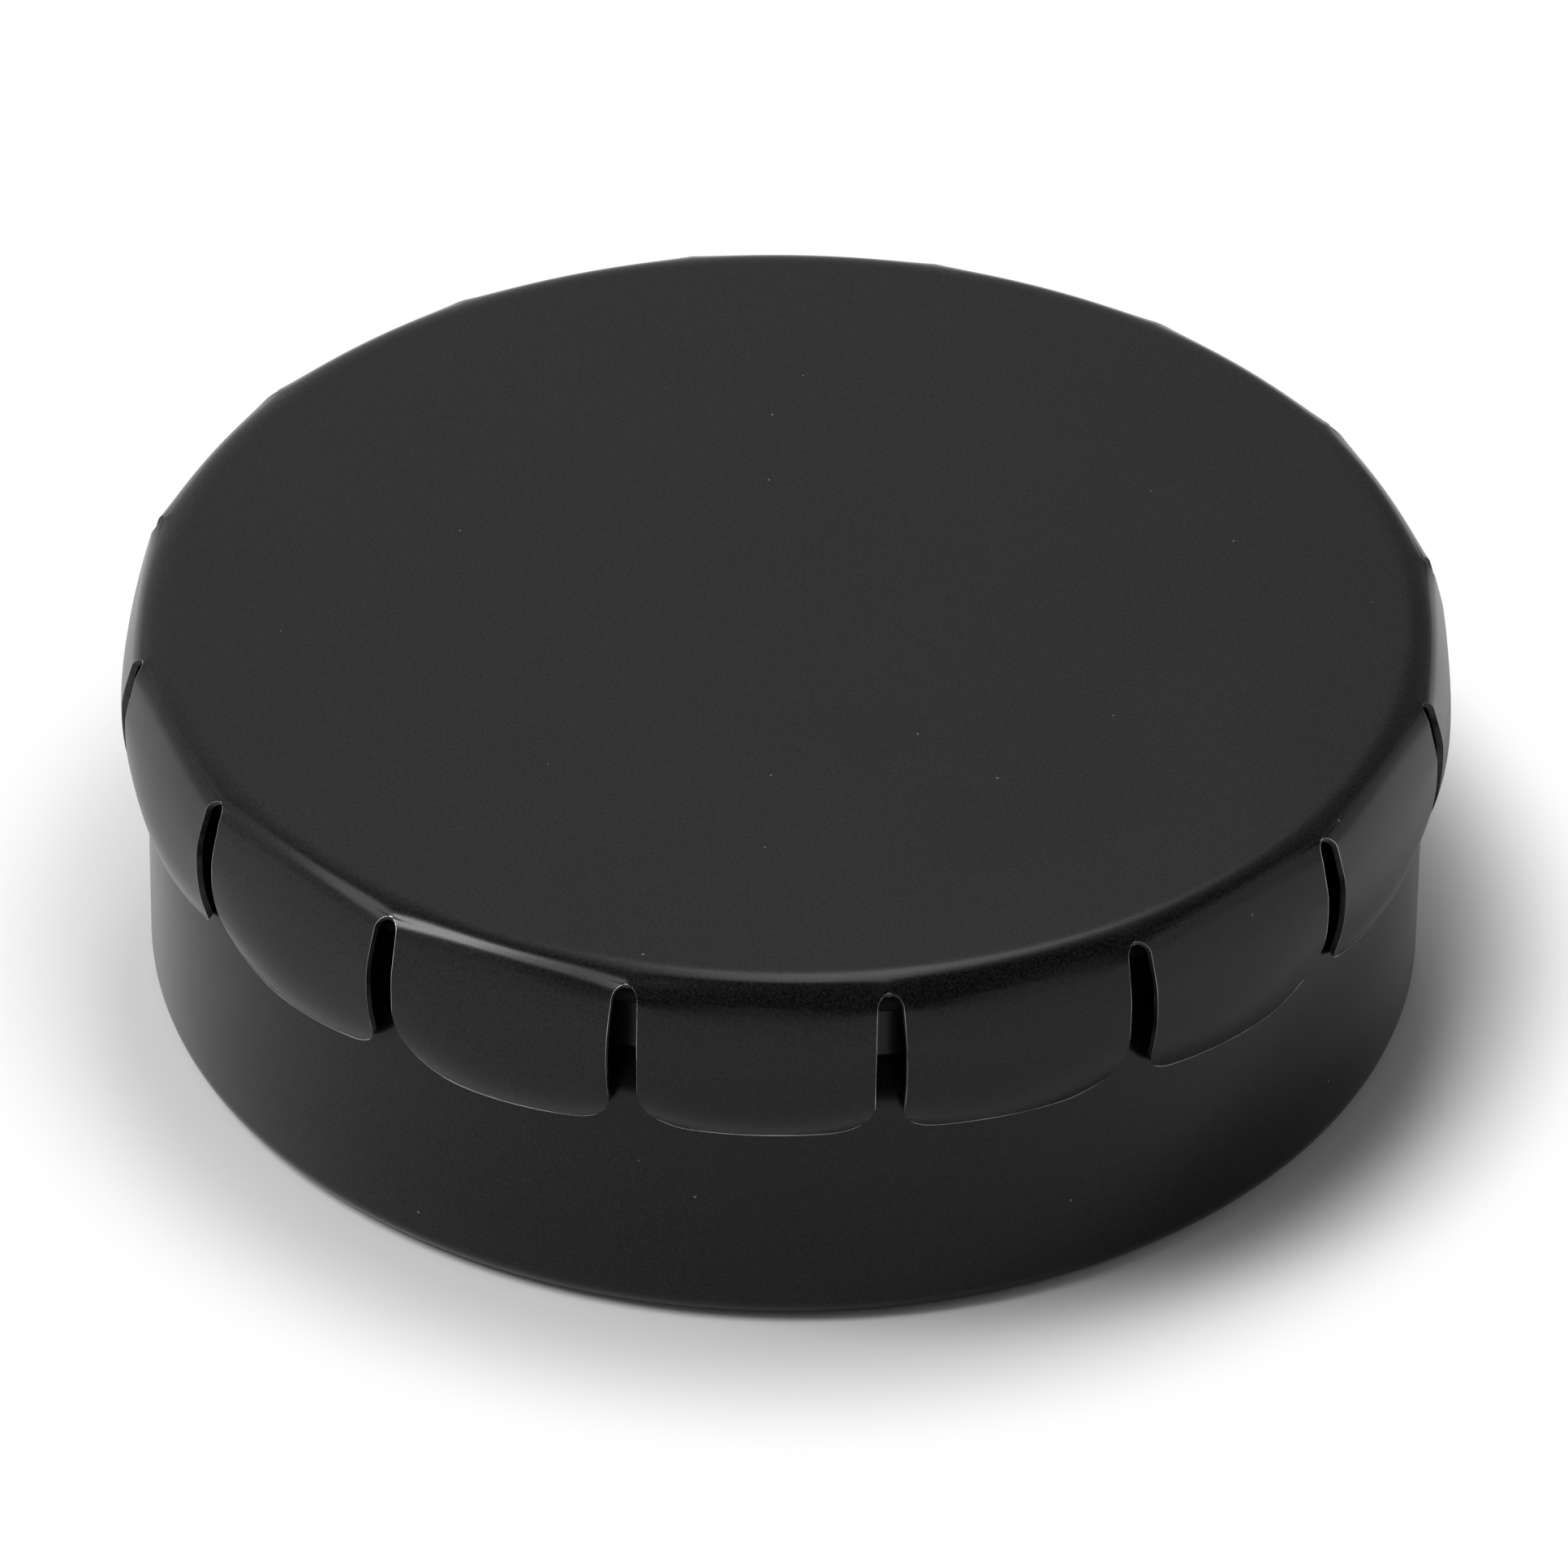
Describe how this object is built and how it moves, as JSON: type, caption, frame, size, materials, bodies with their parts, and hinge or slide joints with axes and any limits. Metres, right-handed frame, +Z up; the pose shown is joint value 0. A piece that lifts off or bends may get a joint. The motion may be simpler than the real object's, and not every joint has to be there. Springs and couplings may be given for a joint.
{
  "type": "mint tin",
  "caption": "Round snap-lid mint tin: a drawn tinplate cup, and a flat lid whose slit skirt of springy tabs clasps the cup and tips open at the back.",
  "frame": {"origin": "middle of the base, on the surface that the tin stands on", "axes": "+Z up along the tin's axis; the lid tips open about a line at the back, so the back is +Y and the front is -Y; +X to the right seen from the front"},
  "size_m": [0.048, 0.048, 0.0148],
  "materials": {
    "black_lacquer": "satin black lacquer on tinplate"
  },
  "bodies": {
    "cup": {"cup": "black_lacquer"},
    "lid": {"lid": "black_lacquer"}
  },
  "joints": [
    {"name": "lid_tip", "type": "hinge", "parent": "cup", "child": "lid", "pos_m": [0, 0.02353, 0.0089], "axis": [-1, 0, 0], "range_deg": [0, 30]}
  ]
}
